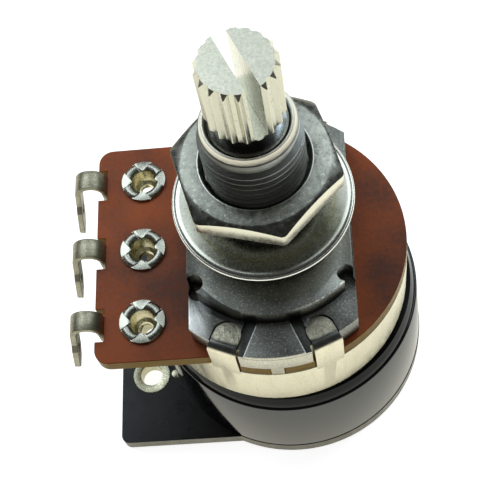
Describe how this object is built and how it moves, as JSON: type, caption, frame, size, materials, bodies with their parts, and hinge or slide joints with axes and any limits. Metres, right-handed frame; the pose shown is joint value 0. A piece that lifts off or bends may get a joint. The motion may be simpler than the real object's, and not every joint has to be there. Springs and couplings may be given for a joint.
{
  "type": "push-pull rotary potentiometer",
  "caption": "Panel-mount rotary potentiometer with a split knurled shaft that also pulls out to work a changeover switch in a round housing on a small circuit board.",
  "frame": {"origin": "on the shaft's axis at the mounting face, the top of the casting's boss", "axes": "+Z along the shaft towards its tip; the solder terminals and the circuit board's tab are on the -X side"},
  "size_m": [0.0325, 0.0258, 0.0494],
  "materials": {
    "zinc_casting": "grey die-cast zinc, fine grain",
    "nut_metal": "plated steel, dulled",
    "washer_metal": "nickel-plated steel",
    "lock_washer_metal": "plated steel",
    "shaft_metal": "turned and knurled, bright",
    "clip_metal": "blued spring steel",
    "rotor_plastic": "moulded black",
    "wiper_metal": "phosphor bronze",
    "phenolic": "red-brown paper phenolic, golden cut edge",
    "carbon_ink": "printed carbon",
    "silver_ink": "printed silver",
    "terminal_metal": "tinned, matte grey with pale edges",
    "eyelet_metal": "nickelled brass, golden inside",
    "can_metal": "bright plated steel, finely speckled",
    "rivet_metal": "plain",
    "black_plastic": "glossy black",
    "slider_plastic": "natural acetal",
    "ball_metal": "polished",
    "spring_metal": "spring wire",
    "bridge_metal": "spring bronze",
    "contact_metal": "silvered",
    "board_laminate": "black solder mask, grey-brown cut edge",
    "pad_metal": "tinned copper",
    "solder": "bright solder"
  },
  "bodies": {
    "frame": {"front_plate": "zinc_casting", "hex_nut": "nut_metal", "flat_washer": "washer_metal", "lock_washer": "lock_washer_metal", "wafer": "phenolic", "carbon_track": "carbon_ink", "collector_ring": "silver_ink", "terminal_1": "terminal_metal", "terminal_2": "terminal_metal", "terminal_3": "terminal_metal", "eyelet_1": "eyelet_metal", "eyelet_2": "eyelet_metal", "eyelet_3": "eyelet_metal", "can": "can_metal", "frame_rivets": "rivet_metal", "switch_cover": "black_plastic", "switch_housing": "black_plastic", "contact_common": "contact_metal", "contact_lower": "contact_metal", "contact_upper": "contact_metal", "circuit_board": "board_laminate", "board_pads": "pad_metal", "solder_joints": "solder"},
    "plunger": {"slider": "slider_plastic", "bridge_contact": "bridge_metal", "detent_balls": "ball_metal", "detent_springs": "spring_metal"},
    "shaft": {"shaft": "shaft_metal", "upper_clip": "clip_metal", "lower_clip": "clip_metal"},
    "rotor": {"rotor": "rotor_plastic", "wiper": "wiper_metal"}
  },
  "joints": [
    {"name": "pull", "type": "slide", "parent": "frame", "child": "plunger", "axis": [0, 0, 1], "range_m": [0, 0.004]},
    {"name": "turn", "type": "hinge", "parent": "plunger", "child": "shaft", "pos_m": [0, 0, 0], "axis": [0, 0, 1], "range_deg": [-150, 150]},
    {"name": "rotor_turn", "type": "hinge", "parent": "frame", "child": "rotor", "pos_m": [0, 0, -0.0116], "axis": [0, 0, 1], "range_deg": [-150, 150]}
  ],
  "couplings": [
    {"joint": "rotor_turn", "follows": "turn", "ratio": 1}
  ]
}
